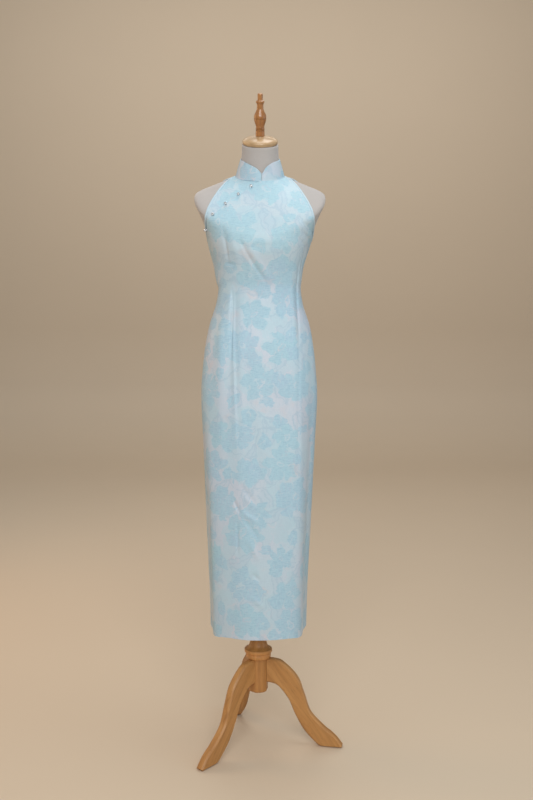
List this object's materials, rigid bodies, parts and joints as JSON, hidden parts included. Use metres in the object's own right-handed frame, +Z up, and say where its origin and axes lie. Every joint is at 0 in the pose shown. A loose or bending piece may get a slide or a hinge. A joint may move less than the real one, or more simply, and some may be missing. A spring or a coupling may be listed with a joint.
{
  "type": "cheongsam dress on a limbless dress form with a wooden stand",
  "caption": "Long sleeveless cheongsam with a stand collar and slanting bead-buttoned front, worn by an armless dress form with a wood cap and finial on a three-legged wooden stand.",
  "frame": {"origin": "on the floor, under the middle of the whole object's footprint", "axes": "+Z up; the dress faces -Y; +X is the wearer's left"},
  "size_m": [0.4068, 0.4094, 1.7455],
  "materials": {
    "cloth": "satin jacquard",
    "underlap": "satin jacquard",
    "collar": "satin jacquard, stiffened",
    "binding": "satin bias binding",
    "bead": "polished clear to pearly bead",
    "form_cloth": "matt knit cover",
    "cap_wood": "glossy varnish, light",
    "finial_wood": "glossy varnish, orange brown",
    "stand_wood": "satin varnish, beech"
  },
  "bodies": {
    "root": {"dress_front": "cloth", "dress_underlap": "underlap", "dress_back": "cloth", "dress_collar": "collar", "binding_left": "binding", "binding_right": "binding", "button_1": "bead", "button_2": "bead", "button_3": "bead", "button_4": "bead", "button_5": "bead", "form_torso": "form_cloth", "neck_cap": "cap_wood", "finial": "finial_wood", "stand_pole": "stand_wood", "stand_hub": "stand_wood", "stand_post": "stand_wood", "leg_1": "stand_wood", "leg_2": "stand_wood", "leg_3": "stand_wood"}
  },
  "joints": []
}
